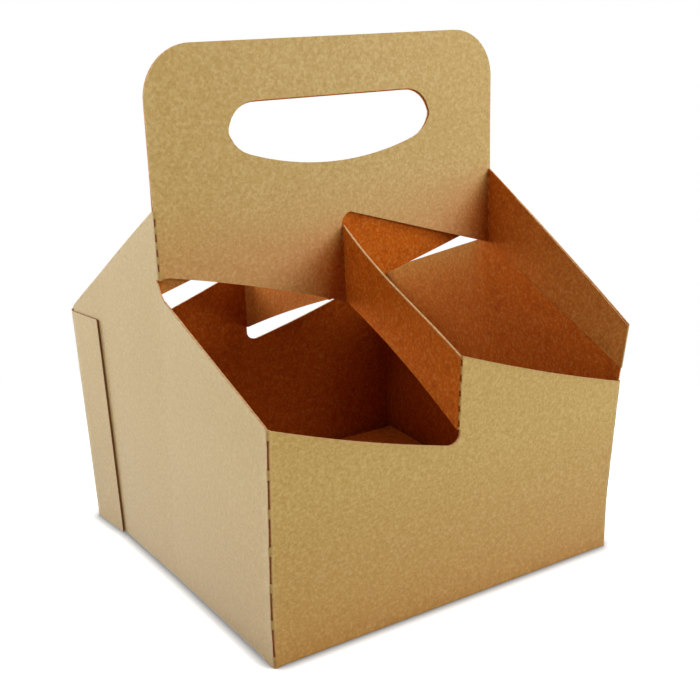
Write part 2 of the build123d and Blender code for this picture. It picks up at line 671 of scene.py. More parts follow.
    def add_fold(
        self,
        start: np.ndarray,
        ridge: np.ndarray,
        end: np.ndarray,
        whole: np.ndarray | None = None,
        tones: tuple[Tone, Tone] = (Tone.WALL, Tone.WALL),
        mark: float = 1.0,
    ) -> None:
        """Adds a rounded fold; where a row is cut, both panels run on until they nearly touch, and
        their lips are darkened as painted shade in the slit.

        Args:
            start: Line where the first panel ends.
            ridge: Line where both panels would meet.
            end: Line where the second panel starts.
            whole: True for the rows that aren't cut; all of them if left out.
            tones: Tones of the first and the second panel.
            mark: Crease value at the lips of a slit, a painted shade.
        """
        share = np.linspace(0, 1, self.fold_columns + 1)[:, None]
        strip = bezier(start, ridge, end, share[..., None])
        first, second = (np.array(tone.value) for tone in tones)
        tone = blend(first, second, share[..., None])
        bend = self.fold_mark * np.sin(np.pi * share)
        if whole is None:
            self.add(strip, None, bend, tone)
            return
        self.add(strip, np.broadcast_to(whole, (self.fold_columns, len(whole))), bend, tone)
        # painted shade in the slit: the lips darken from nothing at the panel to the mark at the
        # tip
        lip = self.sizes.half_board * self.sizes.slit_close
        depth = np.array([[0.0], [mark]])
        for edge, edge_tone, step in ((start, first, 1), (end, second, -1)):
            reach = np.linalg.norm(edge - ridge, axis=-1, keepdims=True)
            tip = ridge + (edge - ridge) * lip / reach
            self.add(np.stack([edge, tip])[::step], ~whole[None], depth[::step], edge_tone)

    def low_wall(self) -> np.ndarray:
        """Left wall: straight from the handle fold to the corner.

        Its top falls in a straight line, and beside the handle it curves up to the fold in a
        quarter of an ellipse.

        Returns:
            Grid of the wall.
        """
        s = self.sizes
        length = s.base_depth / 2
        gaps = [s.fold, s.corner_guard, s.side_guard, length - s.notch_reach, length]
        counts = [1, 1, self.wall_columns, self.notch_columns]
        along = stops([gap / length for gap in gaps], counts)[::-1]
        z = blend(self.rows(s.corner_height), self.rows(s.notch_height), along[:, None])
        part = np.clip((1 - along) * length / s.notch_reach, 0, 1)
        slope = blend(s.corner_height, s.slope_height, along)
        top = slope + (s.notch_height - s.slope_height) * hollow(1 - part)
        top[-1] = s.corner_height
        grid = self.side_point(self.eased(z, top), along[:, None]) * MIRROR
        grid[0, :, 1] = s.fold
        self.add(grid, self.toes(grid, 0, 2))
        return grid

    def end_panel(self) -> tuple[np.ndarray, np.ndarray]:
        """Front panel: its low half, whose hollow top ends in a round notch, and its high half.

        Returns:
            Grids of both halves.
        """
        s = self.sizes
        left = -s.base_width / 2 + s.half_board
        notch = s.panel_fold - s.notch_run
        fold = s.panel_fold + s.half_board + s.fold
        span = fold - notch
        straight = stops([left + s.fold, left + s.corner_guard, notch], [1, self.wall_columns])
        x = np.concatenate([straight[:-1], notch + span * np.sin(self.quarter)])
        share = (x - left) / (notch - left)
        edge = blend(s.corner_height, s.dip_height, share) - s.front_sag * hump(share)
        round_end = s.dip_height + s.notch_rise * hollow((x - notch) / span)
        top = np.where(x > notch, round_end, edge)
        top[0] = s.corner_height
        end = self.centre_rows[: self.low_rows + 2]
        low = self.end_grid(x, self.rows(s.corner_height), end, top, 1)

        right = -left
        x = stops([fold, right - s.corner_guard, right - s.fold], [self.wall_columns, 1])
        share = (x - fold) / (right - fold)
        top = blend(s.peak_height, s.far_height, share) - s.front_sag * hump(share)
        top[-1] = s.far_height
        end = self.far_rows[: len(self.centre_rows)]
        high = self.end_grid(x, self.centre_rows, end, top, 0)
        self.add(low, self.toes(low, 1, 0))
        self.add(high, self.toes(high, 0, 1))
        return low, high

    def end_grid(
        self, x: np.ndarray, start: np.ndarray, end: np.ndarray, top: np.ndarray, upright: int
    ) -> np.ndarray:
        """Grid of half an end panel: rows run straight between its folds, eased up to the cut top.

        Args:
            x: Columns, measured at the base.
            start: Heights of the rows at the first fold.
            end: Heights of the rows at the second fold.
            top: Height of the cut edge at each column.
            upright: Which end keeps its X, 0 for the first and 1 for the last.

        Returns:
            Grid of points. X spreads with the height towards the other end, by the flare.
        """
        share = ((x - x[0]) / (x[-1] - x[0]))[:, None]
        z = self.eased(blend(start, end, share), top)
        return self.end_point(z, x[:, None] + (share - upright) * self.sizes.side_flare * z)

    def double_wall(self, end_edge: np.ndarray) -> np.ndarray:
        """Right wall up to the handle's shoulder, joined to the end panel by a fold or a flap.

        Args:
            end_edge: Line where the end panel stops.

        Returns:
            Grid of the wall.
        """
        s = self.sizes
        length = s.base_depth / 2
        folded = self.corner is Corner.FOLDED
        start = s.fold if folded else s.half_board + s.layer_step
        gaps = [start, s.corner_guard, s.side_guard, length]
        along = stops([gap / length for gap in gaps], [1, 1, self.wall_columns])[:, None]
        rows = self.far_rows
        wall = self.side_point(blend(rows, self.handle_rows, along), along)
        wall[-1, :, 1] = -s.fold
        self.add(wall, self.toes(wall, 2, 0))
        joined = len(self.centre_rows)
        if folded:
            outer, ridge = wall, self.side_point(rows, np.zeros(len(rows)))
            whole = self.slits(joined - 1, Slits.HIGH_CORNER)
        else:
            outer, ridge = self.glue_flap(rows)
            whole = None
        self.add_fold(end_edge, ridge[:joined], outer[0, :joined], whole)
        self.inner_band(outer[0])
        return wall

    def glue_flap(self, rows: np.ndarray) -> tuple[np.ndarray, np.ndarray]:
        """Flap glued outside the double wall, standing off it evenly more towards its free edge.
        Its free
        and top edges are darkened: a painted shadow line.

        Args:
            rows: Heights of the rows at the corner.

        Returns:
            Grid of the flap, and the ridge of its fold.
        """
        s = self.sizes
        outset = s.half_board + s.flap_gap
        share = np.append(np.linspace(0, 1 - self.flap_rim, self.flap_columns + 1), 1.0)[:, None]
        top = s.flap_height + s.flap_rise * share
        squeeze = (top - s.band_foot) / (s.wing_height - s.band_foot)
        z = np.where(rows > s.band_foot, s.band_foot + (rows - s.band_foot) * squeeze, rows)
        reach = s.flap_width + s.flap_slant * (1 - z / s.flap_height)
        along = blend(s.fold, reach, share) / (s.base_depth / 2)
        x = blend(s.half_width(z), s.handle_width / 2, along) + outset + s.flap_lift * share
        y = blend(-(s.half_depth(z) - s.half_board), -s.fold, along)
        flap = points_of(x, y, z)
        # painted shadow line along the flap's free edge and top edge
        crease = np.zeros(flap.shape[:2])
        crease[-1] = crease[1:, -1] = 1.0
        self.add(flap, crease=crease)
        return flap, self.end_point(rows, s.half_width(rows) + outset)

    def inner_band(self, outer_edge: np.ndarray) -> None:
        """Band inside the double wall, from the handle to the corner, where it turns back.

        Between its ends the lower edge stands off the wall and rises by a parabola. The crease
        value, a painted shade, falls exponentially from the handle, and the lower edge is darkened
        as a painted shadow line. The painted deep tone eases off evenly towards the corner.

        Args:
            outer_edge: Line of the outer layer at the corner.
        """
        s = self.sizes
        first = len(self.centre_rows) - 1 + self.step_rows
        near = np.linspace(s.band_height, s.shoulder_height, self.band_rows + 1)
        share = self.band_shares
        z = blend(near, self.far_rows[first:], share)
        depth = s.half_depth(z) - s.fold
        bow = hump(share) * self.band_fall
        inset = s.half_board + s.layer_step + s.band_splay * bow
        z = z + s.band_rise * bow
        inner = (share > 0) & (share < 1)
        z[:, 1:2] = blend(z[:, :1], z[:, 1:2], np.where(inner, s.edge_share, 1.0))
        # painted shade beside the handle fold, and a painted shadow line along the lower edge
        shade = self.band_shade * np.exp(-share * s.base_depth / 2 / self.band_reach)
        crease = np.repeat(shade, z.shape[1], axis=1)
        crease[:, :1] = np.where(inner, 1.0, shade)
        x = blend(s.handle_width / 2 - inset, s.half_width(z) - inset, share)
        y = blend(-s.layer_depth(near) - s.fold, -depth, share)
        band = points_of(x, y, z)
        # painted shade: the deep tone eases off towards the corner and round the hairpin
        tone = np.repeat(1 - s.band_fade * share, 2, axis=1)[:, None]
        self.add(band, crease=crease, tone=tone)
        turn = np.linspace(1 - s.band_fade, 0, self.fold_columns + 1)[:, None]
        tone = np.stack([turn, np.full_like(turn, 1 - s.band_fade)], axis=-1)
        self.add(self.hairpin(band[-1], outer_edge[first:], FORWARD, self.fold_columns), tone=tone)
        self.band_fold(band[0, 0, 0], near, band[0])

    def band_fold(self, x: float, z: np.ndarray, edge: np.ndarray) -> None:
        """Adds the slit fold that turns the handle layer into a band.

        Args:
            x: Place of the fold.
            z: Heights of its rows.
            edge: Line where the band starts.
        """
        layer_edge = self.handle_edge(x - self.sizes.fold, z)
        whole = self.slits(self.band_rows, Slits.BAND)
        self.add_fold(layer_edge, self.handle_edge(x, z), edge, whole, (Tone.WALL, Tone.BAND))

    def centre_band(self, panel_edge: np.ndarray) -> None:
        """Band from the handle's centre fold to the end panel.

        Its lower edge is bowed up by a parabola; its upper one sags most at a third of the way.
        Both faces carry the painted deep shade, the inner one a little less, and the upper edge a
        painted highlight.

        Args:
            panel_edge: Line where the high half of the end panel starts.
        """
        s = self.sizes
        first = self.low_rows + 1 + self.step_rows
        near = np.linspace(s.centre_height, s.divider_height, self.band_rows + 1)
        far = self.centre_rows[first:]
        handle_x = s.handle_fold - s.half_board
        panel_x = s.panel_fold + s.half_board
        share, low = self.band_shares, self.band_fall
        z = blend(near, far, share)
        z = z + s.divider_bow * hump(share) * low - s.divider_sag * early_hump(share) * (1 - low)
        depth = s.half_depth(z) - s.half_board - s.fold
        y = blend(-s.layer_depth(near) - s.fold, -depth, share)
        band = points_of(blend(handle_x, panel_x, share), y, z)
        # painted shade on both faces, a little less on the inner one, and a painted highlight along
        # the upper edge
        tone = np.broadcast_to(Tone.BAND.value, band.shape[:2] + (2,)).copy()
        tone[..., 1] -= s.divider_fade
        tone[:, -1] = s.edge_highlight
        self.add(band, tone=tone)
        self.band_fold(handle_x, near, band[0])
        ridge = self.end_point(far, np.full(len(far), panel_x))
        whole = self.slits(self.band_rows, Slits.PANEL)
        tones = (Tone.BAND, Tone.WALL)
        self.add_fold(band[-1], ridge, panel_edge[first:], whole, tones, self.panel_slit_shade)

    def hole_outline(self) -> np.ndarray:
        """Hand hole, anticlockwise: a shallow arc, straight sides and top, and round corners.

        Returns:
            Points in two dimensions.
        """
        s = self.sizes
        half, r = s.hole_width / 2, s.hole_corner
        bow = (half**2 + s.hole_bow**2) / (2 * s.hole_bow)
        bow_centre = s.hole_bottom + bow
        across = half - r
        low = bow_centre - np.sqrt((bow - r) ** 2 - across**2)
        high = s.hole_top - r
        turn = np.degrees(np.arcsin(across / (bow - r)))
        outline = loop(
            arc((0, bow_centre), bow, -90 - turn, -90 + turn, self.long_steps),
            arc((across, low), r, turn - 90, 0, self.corner_steps),
            line((half, low), (half, high), self.short_steps),
            arc((across, high), r, 0, 90, self.corner_steps),
            line((across, s.hole_top), (-across, s.hole_top), self.long_steps),
            arc((-across, high), r, 90, 180, self.corner_steps),
            line((-half, high), (-half, low), self.short_steps),
            arc((-across, low), r, 180, 270 - turn, self.corner_steps),
        )
        return outline + np.array([s.hole_shift, 0.0])

    def layer_outline(self) -> np.ndarray:
        """Edge of a handle layer, anticlockwise from the left notch, through each row of its folds.

        Returns:
            Points in two dimensions.
        """
        s = self.sizes
        free = s.handle_width / 2
        left = -free + s.half_board + s.fold
        right = free - s.half_board - s.layer_step - s.fold
        fold = s.handle_fold - s.half_board - s.fold
        top, r = s.handle_height, s.handle_corner
        low_start = (-free + s.notch_run, s.layer_height)
        arch = (s.handle_fold + s.notch_run, s.arch_height)
        crown_x = fold + (arch[0] - fold) * (1 - np.cos(self.quarter))
        crown_z = s.arch_height - s.arch_rise + s.arch_rise * np.sin(self.quarter)
        return loop(
            line((left, s.layer_height), low_start, self.short_steps),
            line(low_start, (fold, s.centre_height), self.edge_steps, s.layer_bow),
            line((fold, s.centre_height), (fold, s.divider_height), self.band_rows),
            np.stack([crown_x, crown_z], axis=-1),
            line(arch, (right, s.band_height), self.edge_steps),
            line((right, s.band_height), (right, s.shoulder_height), self.band_rows),
            line((right, s.shoulder_height), (free, s.shoulder_height), 1),
            line((free, s.shoulder_height), (free, top - r), self.side_steps),
            arc((free - r, top - r), r, 0, 90, self.corner_steps),
            line((free - r, top), (-free + r, top), self.top_steps),
            arc((-free + r, top - r), r, 90, 180, self.corner_steps),
            line((-free, top - r), (-free, s.shoulder_height), self.side_steps),
            line((-free, s.shoulder_height), (left, s.shoulder_height), 1),
            line((left, s.shoulder_height), (left, s.layer_height), self.upper_rows),
        )

    def handle_layer(self) -> None:
        """Handle layer: rays from its edge to the hand hole, each at one angle about the hole."""
        s = self.sizes
        outline, hole = self.layer_outline(), self.hole_outline()
        squeeze = np.array([s.hole_width, s.hole_top - s.hole_bottom])
        middle = np.array([s.hole_shift, (s.hole_top + s.hole_bottom) / 2])

        def angles(ring: np.ndarray) -> np.ndarray:
            """Angle of each point about the hole's middle, with the hole squeezed to a circle."""
            flat = (ring - middle) / squeeze
            return np.arctan2(flat[:, 1], flat[:, 0])

        order = np.argsort(angles(hole))
        turn, ray = angles(hole)[order], angles(outline)
        ends = [np.interp(ray, turn, hole[order, axis], period=2 * np.pi) for axis in (0, 1)]
        inner = np.stack(ends, axis=-1)
        share = stops(self.ray_stops, self.ray_steps)
        flat = blend(outline[:, None], inner[:, None], share[:, None])
        x, z = np.moveaxis(np.concatenate([flat, flat[:1]]), -1, 0)
        # painted shade on the inner face, lighter towards the ends of the layer
        shade_share = 1 - s.layer_fade * ramp(x, 0, s.handle_width / 2)
        tone = np.stack([np.zeros_like(shade_share), shade_share], axis=-1)
        self.add(self.handle_edge(x, z), tone=tone)

    def wall_fold(self) -> None:
        """Fold from the other half's double wall into this half's handle layer, with short slits.

        Its foot is a tooth that the round end of the window cuts to a point: a quarter of an
        ellipse.
        """
        s = self.sizes
        z = self.handle_rows[self.low_rows + 1 + self.open_rows :]
        wall_x = -s.handle_width / 2 + s.half_board
        left = wall_x + s.fold
        rows = len(z) - 1
        top_rows = np.arange(rows) >= rows - self.whole_rows
        self.add_fold(
            points_of(wall_x, s.fold, z),
            self.handle_edge(wall_x, z),
            self.handle_edge(left, z),
            self.slits(rows, Slits.HANDLE) | top_rows,
        )
        z = z[: self.tooth_rows - self.open_rows + 1]
        part = (z - z[0]) / (s.layer_height - z[0])
        tip = -s.handle_width / 2 + s.notch_run
        end = blend(left, tip, np.maximum(hollow(part), self.tooth_tip))
        share = np.linspace(0, 1, self.tooth_columns + 1)[:, None]
        self.add(self.handle_edge(blend(left, end, share), z))

    def flap_path(self, reach: np.ndarray, level: float) -> tuple[np.ndarray, np.ndarray]:
        """Section of a floor flap: a tight turn at the toe, a slope, a soft bend and a level run.

        Args:
            reach: Distance from the wall to the flap's end, for each column.
            level: Height of the level run.

        Returns:
            Distances in from the wall and heights, for each column.
        """
        s = self.sizes
        t = np.linspace(0, 1, self.turn_steps + 1)
        slope = (level - s.floor_dip) / s.floor_kick
        foot, head = s.floor_kick - s.floor_round, s.floor_kick + s.floor_round
        turn_in = bezier(0, 0, s.floor_round, t)
        turn_up = bezier(s.toe, s.floor_dip, s.floor_dip + slope * s.floor_round, t)
        bend_in = bezier(foot, s.floor_kick, head, t)
        bend_up = bezier(s.floor_dip + slope * foot, level, level, t)
        start = np.concatenate([turn_in, bend_in])
        level_run = blend(head, reach[:, None], np.linspace(0, 1, self.level_steps + 1)[1:])
        starts = np.broadcast_to(start, (len(reach), len(start)))
        inward = np.concatenate([starts, level_run], axis=1)
        up = np.concatenate([turn_up, bend_up, np.full(self.level_steps, level)])
        return inward, np.broadcast_to(up, inward.shape)

    def end_floor_flap(self, root: np.ndarray) -> None:
        """Floor flap of the end panel: it narrows evenly and ends in a hook across the middle.

        Args:
            root: Points along the foot of the end panel.
        """
        s = self.sizes
        steps = [s.hook_reach - s.hook_gap, -s.hook_reach - s.hook_gap]
        end = np.interp(root[:, 0], [-s.hook_slant, s.hook_slant], steps)
        inward, up = self.flap_path(end - root[:, 1], s.floor_rise)
        narrow = 1 - s.flap_taper / (s.base_width / 2) * (inward / (s.base_depth / 2))
        grid = points_of(root[:, :1] * narrow, root[:, 1:2] + inward, up)
        self.add(grid[:, ::-1])

    def side_floor_flap(self, root: np.ndarray) -> None:
        """Side floor flap: it slopes in under the end flaps and narrows evenly to its end.

        Args:
            root: Points along the foot of the right wall, from front to back.
        """
        s = self.sizes
        level = s.floor_rise - s.layer_step
        inward, up = self.flap_path(np.full(len(root), s.side_flap_reach), level)
        gone = ramp(inward, s.floor_kick, s.side_flap_reach)
        narrow = 1 - s.side_flap_taper / (s.base_depth / 2 - s.side_guard) * gone
        grid = points_of(root[:, :1] - inward, root[:, 1:2] * narrow, up)
        self.add(grid[:, ::-1])

    def build(self) -> list[Sheet]:
        """Works out every panel and fold of the half.

        Returns:
            The sheets, ready to weld.
        """
        low_wall = self.low_wall()
        low_panel, high_panel = self.end_panel()
        rows = low_wall[-1, :, 2]
        ridge = self.end_point(rows, -(self.sizes.half_width(rows) - self.sizes.half_board))
        whole = self.slits(self.low_rows + 1, Slits.LOW_CORNER)
        self.add_fold(low_wall[-1], ridge, low_panel[0], whole)
        wall = self.double_wall(high_panel[-1])
        self.centre_band(high_panel[0])
        self.handle_layer()
        self.wall_fold()
        self.end_floor_flap(np.concatenate([low_panel[1:-1, 1], high_panel[:-1, 1]]))
        opposite = low_wall[:, 1] * HALF_TURN
        self.side_floor_flap(np.concatenate([wall[2:-1, 1], opposite[:-2]]))
        return self.sheets


@dataclass(frozen=True)
class BoardTones:
    """Painted shade and light on the board, from place to place. Lengths are in millimetres.

    Attributes:
        sizes: Sizes of the blank.
        foot_tone: Painted shade of the outer face at the foot of the walls.
        foot_height: Height at which that tone ends.
        toe_tone: What is added to it at the very foot.
        toe_height: Height over which the addition falls to about a third.
        front_gain: How much stronger the side walls' tone is at the front.
        end_gain: How many times as strong it is on the end panels.
        floor_edge: Distance in from the walls at which the floor flaps turn plain.
        floor_run: Width of that change.
        floor_tone: Share of the tone that they keep.
        low_tone: Painted shade of the outer face at the foot of the handle.
        low_drop: Depth below the hand hole at which it is full.
        low_power: Power of the depth that it follows.
        centre_tone: Painted shade of the outer face at the handle's centre fold, before it is held
            at 1.
        centre_reach: Distance over which it falls to about a third.
        centre_drop: Depth over which it rises.
        right_tone: Painted shade of the outer face at the fold into the inner band, before it is
            held at 1.
        right_reach: Distance over which it falls to about a third.
        right_drop: Depth over which it rises.
        drop_start: How far above the top of a fold its tone starts.
        corner_dusk: Crease value of the inner face in the corners under the low walls.
        corner_reach: Distance over which it falls to about a third.
        corner_drop: Depth over which it rises.
        end_dusk: Crease value of the end panels' inner faces.
        end_depth: Depth of the zone that counts as an end panel.
        fade: Share of the deep tone lost below the sloping tops, which paints light there.
        fade_reach: Depth over which that share falls to about a third.
        fade_run: Part of the wall's length beside the handle over which it rises.
        wall_depth: Depth of the zone that counts as a side wall.
        handle_depth: Depth of the zone that counts as the handle.
        margin: Margin for telling the walls from the handle.
    """

    sizes: BlankSizes
    foot_tone: float = 0.36
    foot_height: float = 70.0
    toe_tone: float = 0.2
    toe_height: float = 14.0
    front_gain: float = 0.9
    end_gain: float = 1.3
    floor_edge: float = 10.0
    floor_run: float = 6.0
    floor_tone: float = 0.25
    low_tone: float = 0.3
    low_drop: float = 36.0
    low_power: float = 1.5
    centre_tone: float = 1.5
    centre_reach: float = 19.0
    centre_drop: float = 24.0
    right_tone: float = 1.4
    right_reach: float = 18.0
    right_drop: float = 28.0
    drop_start: float = 4.0
    corner_dusk: float = 0.9
    corner_reach: float = 22.0
    corner_drop: float = 60.0
    end_dusk: float = 0.4
    end_depth: float = 6.0
    fade: float = 0.5
    fade_reach: float = 14.0
    fade_run: float = 1 / 6
    wall_depth: float = 4.0
    handle_depth: float = 6.0
    margin: float = 1.0

    def on_handle(self, points: np.ndarray) -> np.ndarray:
        """Finds the points of the two handle layers.

        Args:
            points: Points of the board.

        Returns:
            True for a point of the handle.
        """
        x, y, z = points.T
        between = np.abs(x) < self.sizes.handle_width / 2 - self.margin
        above = z > self.sizes.centre_height - self.margin
        return (np.abs(y) < self.handle_depth) & above & between

    def on_sides(self, points: np.ndarray) -> np.ndarray:
        """True for the points of the side walls."""
        return np.abs(points[:, 0]) > self.sizes.handle_width / 2 - self.margin

    def below(self, z: np.ndarray, height: float, drop: float) -> np.ndarray:
        """Straight rise downwards from just above a fold's top to 1."""
        start = height + self.drop_start
        return ramp(z, start, start - drop)

    def outer(self, points: np.ndarray) -> np.ndarray:
        """Painted shade of the outer face: warmer at the foot of walls and handle and beside its
        folds.

        The walls' foot is a straight fall plus an exponential one, the handle's a power of its
        depth below the hand hole, and each fold's an exponential fall with the distance, times a
        straight rise downwards.

        Args:
            points: Points of the board.

        Returns:
            Tone at each point.
        """
        s = self.sizes
        x, y, z = points.T
        foot = self.foot_tone * ramp(z, self.foot_height, 0)
        foot = foot + self.toe_tone * np.exp(-z / self.toe_height)
        gain = 1 + self.front_gain * ramp(-y, 0, s.base_depth / 2)
        on_end = np.abs(x) <= s.base_width / 2 - self.margin
        inward = np.minimum(s.base_width / 2 - np.abs(x), s.base_depth / 2 - np.abs(y))
        floor = ramp(inward, self.floor_edge, self.floor_edge - self.floor_run)
        foot = foot * np.where(on_end, self.end_gain, gain) * np.maximum(floor, self.floor_tone)

        beside = -x * np.sign(y)
        drop = ramp(z, s.hole_bottom, s.hole_bottom - self.low_drop)
        low = self.low_tone * drop**self.low_power
        centre = self.centre_tone * np.exp((beside - s.handle_fold) / self.centre_reach)
        centre = centre * self.below(z, s.divider_height, self.centre_drop)
        right = self.right_tone * np.exp((beside - s.handle_width / 2) / self.right_reach)
        right = right * self.below(z, s.shoulder_height, self.right_drop)
        folds = np.maximum(np.where(beside < s.handle_fold, centre, 0), right)
        handle = 1 - (1 - low) * (1 - np.clip(folds, 0, 1))
        return np.where(self.on_handle(points), handle, foot)

    def dusk(self, points: np.ndarray) -> np.ndarray:
        """Painted shade on the inner face of the end panels and in two corners: an exponential fall
        from those.

        Args:
            points: Points of the board.

        Returns:
            Crease value of the inner face at each point.
        """
        s = self.sizes
        x, y, z = points.T
        apart = np.hypot(np.abs(x) - s.base_width / 2, np.abs(y) - s.base_depth / 2)
        low = ramp(z, s.corner_height, s.corner_height - self.corner_drop)
        corner = self.corner_dusk * np.exp(-apart / self.corner_reach) * low
        end = np.where(np.abs(y) > s.base_depth / 2 - self.end_depth, self.end_dusk, 0)
        return np.maximum(np.where(x * y > 0, corner, 0), end)

    def light_under_tops(self, points: np.ndarray) -> np.ndarray:
        """Painted light on the inner face below the side walls' sloping tops: an exponential fall
        with depth.

        Args:
            points: Points of the board.

        Returns:
            Share of the deep tone that the inner face loses at each point.
        """
        s = self.sizes
        x, y, z = points.T
        along = ramp(y * np.sign(x), 0, s.base_depth / 2)
        top = blend(s.slope_height, s.corner_height, along)
        near = ramp(along, 0, self.fade_run) * (np.abs(x) > s.base_width / 2 - self.wall_depth)
        return self.fade * near * np.exp(-np.abs(top - z) / self.fade_reach)


@dataclass
class PaperCarrier:
    """The whole carrier: both halves of the blank as one board. Lengths are in millimetres.

    Attributes:
        sizes: Sizes of the blank.
        corner_lean: How far the front left corner leans in at its top.
        foot_pull: How far the foot of the rear left corner is pulled in, along X and Y.
        top_pull: How far the top of that corner is pulled in along X.
        handle_lean: How far the handle's top leans along X.
        wing_flare: How far the front right corner spreads at the top of the double wall.
        foot_swell: How far the foot of the front panel bulges out.
        swell_start: Distance from the middle at which that bulge starts.
        swell_height: Height at which it ends.
        swell_power: Power of the height that it follows.
        edge_swell: How many times as thick the board is at its cut edges.
        double_depth: Depth of the zone in which the double walls lie.
        slit_range: Crease values between which a cut edge shows the deep tone.
    """

    sizes: BlankSizes = field(default_factory=BlankSizes)
    corner_lean: float = 1.5
    foot_pull: tuple[float, float] = (-2.0, -4.0)
    top_pull: float = -0.9
    handle_lean: float = -1.1
    wing_flare: float = 2.0
    foot_swell: float = 2.0
    swell_start: float = 60.0
    swell_height: float = 30.0
    swell_power: float = 1.5
    edge_swell: float = 1.7
    double_depth: float = 5.0
    slit_range: tuple[float, float] = (0.1, 0.5)

    @property
    def rear_sizes(self) -> BlankSizes:
        """Sizes of the half behind the handle, fitted where it shows past the front half.

        Returns:
            The front half's sizes with those that differ.
        """
        return replace(
            self.sizes,
            slope_height=132.8,
            corner_height=97.8,
            wing_height=107.0,
            dip_height=73.1,
            divider_bow=0.8,
            hole_top=208.0,
            hole_bottom=179.0,
            hole_shift=0.4,
            layer_bow=-0.6,
        )

    @property
    def tones(self) -> BoardTones:
        """Painted shade and light of the board."""
        return BoardTones(self.sizes)

    def board(self) -> Sheet:
        """Middle surface of the folded blank, both halves welded along the handle folds.

        Returns:
            The board, settled as a carrier set up by hand.
        """
        front = CarrierHalf(self.sizes, Corner.FOLDED).build()
        back = [sheet.turned() for sheet in CarrierHalf(self.rear_sizes, Corner.GLUED).build()]
        sheet = Sheet.weld([*front, *back])
        return replace(sheet, points=self.settled(sheet.points))

    def settled(self, points: np.ndarray) -> np.ndarray:
        """Small unevenness of a carrier set up by hand, fading evenly away from each place.

        The front left corner leans in towards its top, the rear left corner is pulled in, mostly at
        its foot, the front right corner spreads at its top, the handle leans to the left, and the
        front panel's foot bulges out by a power of the height.

        Args:
            points: Points of the even board.

        Returns:
            The points moved.
        """
        s = self.sizes
        x, y, z = points.T
        left, right = (ramp(side * x, 0, s.base_width / 2) for side in (-1, 1))
        front = ramp(-y, 0, s.base_depth / 2)
        rear = ramp(y, s.base_depth / 3, s.base_depth / 2) * left
        up = ramp(z, 0, s.corner_height)
        lean = ramp(z, s.shoulder_height, s.handle_height)
        wing = ramp(z, s.far_height, s.wing_height)
        bulge = ramp(z, self.swell_height, 0) ** self.swell_power
        bulge = bulge * ramp(-y, self.swell_start, s.base_depth / 2)
        move_x = self.corner_lean * left * front * up
        move_x = move_x + rear * blend(self.foot_pull[0], self.top_pull, up)
        move_x = move_x + self.handle_lean * lean + self.wing_flare * wing * right * front
        move_y = rear * self.foot_pull[1] * (1 - up) - self.foot_swell * bulge
        return points + points_of(move_x, move_y, 0.0)

    def pressed(self, sheet: Sheet) -> np.ndarray:
        """How many times as thick the board is where it is cut: more only where it lies single.

        Args:
            sheet: The board.

        Returns:
            Factor for each point.
        """
        x, y, _ = sheet.points.T
        double = (np.abs(x) > self.sizes.base_width / 2 - self.double_depth) & (x * y < 0)
        upright = np.abs(y) > self.tones.handle_depth
        return np.where(upright & ~double & (sheet.crease < HALFWAY), self.edge_swell, 1.0)

    def slots(self, sheet: Sheet, rim: np.ndarray) -> np.ndarray:
        """Chooses a finish for each face: by tone for the faces in painted deep shade, which get
        the shaded copy, or else by place, where the side walls get the copy with a painted sheen.

        Args:
            sheet: The board.
            rim: Directed edges of its cuts.

        Returns:
            Material slots of the outer faces, the inner faces and the cuts.
        """
        deep = sheet.tone.T[:, sheet.quads].mean(axis=2) > HALFWAY
        grip = self.tones.on_handle(sheet.points)[sheet.quads].all(axis=1)
        side = self.tones.on_sides(sheet.points)[sheet.quads].all(axis=1)
        plain = np.where(side, Finish.SIDE.value, Finish.END.value)
        plain = np.where(grip, Finish.HANDLE.value, plain)
        outer, inner = np.where(deep, Finish.INNER.value, plain)
        # cut edges inside a slit get the shaded copy too: painted shade in the slit
        least, most = self.slit_range
        lips = sheet.crease[rim]
        slit = (lips.min(axis=1) > least) & (lips.max(axis=1) < most)
        cuts = np.where(slit, Finish.INNER.value, Finish.CUT.value)
        return np.concatenate([outer, inner, cuts]).astype(np.int32)

    def build(self, materials: Sequence[bpy.types.Material]) -> bpy.types.Object:
        """Gives the board its thickness: half of it both ways along the normals, and a rim.

        At a cut edge the board is pressed a little thicker.

        Args:
            materials: One material for each finish, in the order of the slots.

        Returns:
            The finished piece.
        """
        sheet = self.board()
        count = len(sheet.points)
        rim = sheet.rim()
        half = np.full(count, self.sizes.half_board)
        half[rim] *= self.pressed(sheet)[rim]
        shift = sheet.normals() * half[:, None]
        points = np.concatenate([sheet.points + shift, sheet.points - shift]) * MM
        sides = np.column_stack([rim[:, ::-1], rim + count])
        quads = np.concatenate([sheet.quads, sheet.quads[:, ::-1] + count, sides])
        mesh = bpy.data.meshes.new("carrier_board")
        mesh.from_pydata(points.tolist(), [], quads.tolist())
        mesh.polygons.foreach_set("material_index", self.slots(sheet, rim))
        mesh.shade_smooth()
        self.mark_edges(mesh, rim, count)

        # painted shade and light: the outer tone warmer at the feet and beside the handle's folds,
        # the inner tone lighter under the sloping tops, and the inner crease value darker in the
        # end panels and two corners
        outer = np.maximum(sheet.tone[:, 0], self.tones.outer(sheet.points))
        inner = sheet.tone[:, 1] * (1 - self.tones.light_under_tops(sheet.points))
        shaded = np.maximum(sheet.crease, self.tones.dusk(sheet.points))
        for name, faces in (("crease", (sheet.crease, shaded)), ("tone", (outer, inner))):
            layer = mesh.attributes.new(name, "FLOAT", "POINT")
            layer.data.foreach_set("value", np.concatenate(faces).astype(np.float32))
        for material in materials:
            mesh.materials.append(material)
        mesh.update()
        piece = bpy.data.objects.new("carrier_board", mesh)
        bpy.context.scene.collection.objects.link(piece)
        return piece

